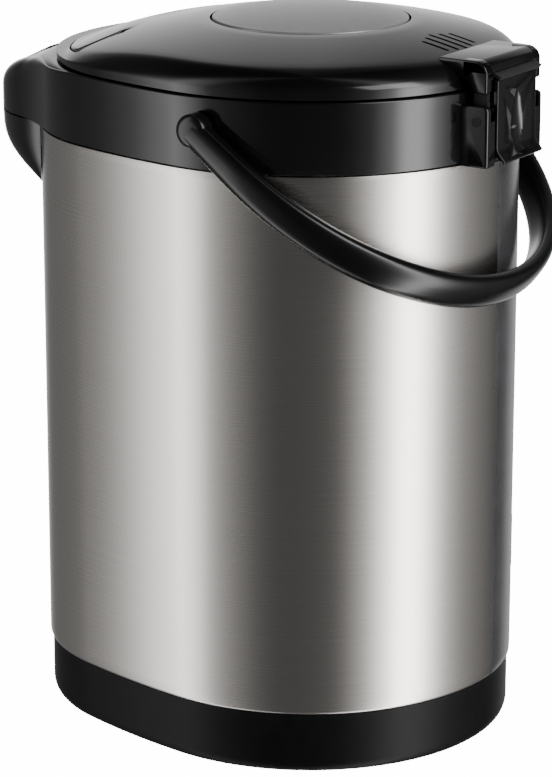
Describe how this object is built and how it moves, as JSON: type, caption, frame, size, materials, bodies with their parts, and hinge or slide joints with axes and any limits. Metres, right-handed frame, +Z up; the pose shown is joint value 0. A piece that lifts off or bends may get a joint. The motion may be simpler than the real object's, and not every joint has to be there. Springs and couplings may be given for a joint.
{
  "type": "electric thermo pot",
  "caption": "Insulated hot-water pot: brushed steel jacket, black base and shoulder, hinged domed lid with press plate, front spout and swinging carrying handle.",
  "frame": {"origin": "on the table, under the centre line of the inner pot and press plate", "axes": "+Z up, -Y towards the spout, +Y towards the lid hinge, X along the hinge axis"},
  "size_m": [0.2166, 0.2836, 0.3422],
  "materials": {
    "gloss_black": "high gloss moulding",
    "satin_black": "satin moulding",
    "brushed_steel": "horizontally brushed sheet",
    "polished_strip": "polished, slightly smoked",
    "pot_steel": "polished stainless",
    "rubber_black": "matt rubber",
    "silicone": "milky silicone",
    "clear_plastic": "clear plastic",
    "inner_plastic": "unpainted moulding",
    "grey_plastic": "grey-black gloss moulding",
    "board": "circuit board laminate",
    "zinc": "zinc plated",
    "alloy": "cast aluminium",
    "brass": "plain brass",
    "felt": "glass wool sleeve",
    "lamp_red": "tinted lens",
    "button_grey": "pale grey button",
    "button_orange": "orange button"
  },
  "bodies": {
    "housing": {"base_shell": "satin_black", "bottom_cover": "satin_black", "rubber_feet": "rubber_black", "cover_screws": "zinc", "chassis": "inner_plastic", "steel_jacket": "brushed_steel", "rear_strip": "polished_strip", "power_inlet": "satin_black", "inlet_pins": "brass", "inner_pot": "pot_steel", "insulation": "felt", "heater_plate": "alloy", "thermostat": "inner_plastic", "thermal_fuse": "inner_plastic", "pump_housing": "inner_plastic", "pump_motor": "zinc", "drain_hose": "silicone", "riser_tube": "silicone", "outlet_elbow": "silicone", "spout_nozzle": "satin_black", "gauge_tube": "clear_plastic", "level_window": "clear_plastic", "power_board": "board", "board_posts": "inner_plastic", "tie_rods": "zinc", "shoulder_ring": "gloss_black", "spout_cover": "gloss_black", "control_panel": "satin_black", "panel_board": "board", "lamp_lenses": "lamp_red", "pot_collar": "satin_black", "pot_seal": "silicone", "hinge_bracket": "gloss_black", "bracket_screws": "zinc", "release_pin": "zinc", "release_spring": "zinc", "pivot_screws": "satin_black"},
    "lid": {"lid_shell": "gloss_black", "lid_yoke": "gloss_black", "hinge_pin": "zinc", "lid_frame": "satin_black", "lid_screws": "zinc", "inner_cover": "pot_steel", "lid_gasket": "silicone", "air_valve": "silicone", "bellows": "rubber_black", "plate_spring": "zinc", "latch_pin": "zinc", "latch_spring": "zinc"},
    "impeller": {"pump_impeller": "inner_plastic"},
    "dispense": {"dispense_button": "button_grey"},
    "reboil": {"reboil_button": "button_orange"},
    "lock": {"lock_button": "button_grey"},
    "release": {"release_lever": "gloss_black"},
    "handle": {"handle": "satin_black"},
    "press": {"press_plate": "grey_plastic"},
    "latch": {"lid_latch": "grey_plastic"}
  },
  "joints": [
    {"name": "lid_hinge", "type": "hinge", "parent": "housing", "child": "lid", "pos_m": [0, 0.1014, 0.306], "axis": [-1, 0, 0], "range_deg": [0, 85]},
    {"name": "press_slide", "type": "slide", "parent": "lid", "child": "press", "axis": [0, 0, -1], "range_m": [0, 0.01], "stiffness_N_per_m": 500, "springref_m": -0.004, "deforming": ["bellows", "plate_spring"]},
    {"name": "latch_lift", "type": "hinge", "parent": "lid", "child": "latch", "pos_m": [0, -0.082, 0.32183], "axis": [-1, 0, 0], "range_deg": [0, 8], "stiffness_Nm_per_rad": 0.1, "springref_deg": -8.59, "deforming": ["latch_spring"]},
    {"name": "release_pull", "type": "hinge", "parent": "housing", "child": "release", "pos_m": [0, 0.1056, 0.296], "axis": [1, 0, 0], "range_deg": [0, 8], "stiffness_Nm_per_rad": 0.2, "springref_deg": -5.73, "deforming": ["release_spring"]},
    {"name": "handle_swing", "type": "hinge", "parent": "housing", "child": "handle", "pos_m": [0, 0.004, 0.301], "axis": [1, 0, 0], "range_deg": [0, 190]},
    {"name": "dispense_push", "type": "slide", "parent": "housing", "child": "dispense", "axis": [0, 0.4099, -0.9121], "range_m": [0, 0.0014], "stiffness_N_per_m": 500, "springref_m": -0.0015},
    {"name": "reboil_push", "type": "slide", "parent": "housing", "child": "reboil", "axis": [0, 0.4099, -0.9121], "range_m": [0, 0.0014], "stiffness_N_per_m": 500, "springref_m": -0.0015},
    {"name": "lock_push", "type": "slide", "parent": "housing", "child": "lock", "axis": [0, 0.4099, -0.9121], "range_m": [0, 0.0014], "stiffness_N_per_m": 500, "springref_m": -0.0015},
    {"name": "impeller_spin", "type": "hinge", "parent": "housing", "child": "impeller", "pos_m": [0, -0.104, 0.035], "axis": [0, 0, 1], "continuous": true}
  ]
}
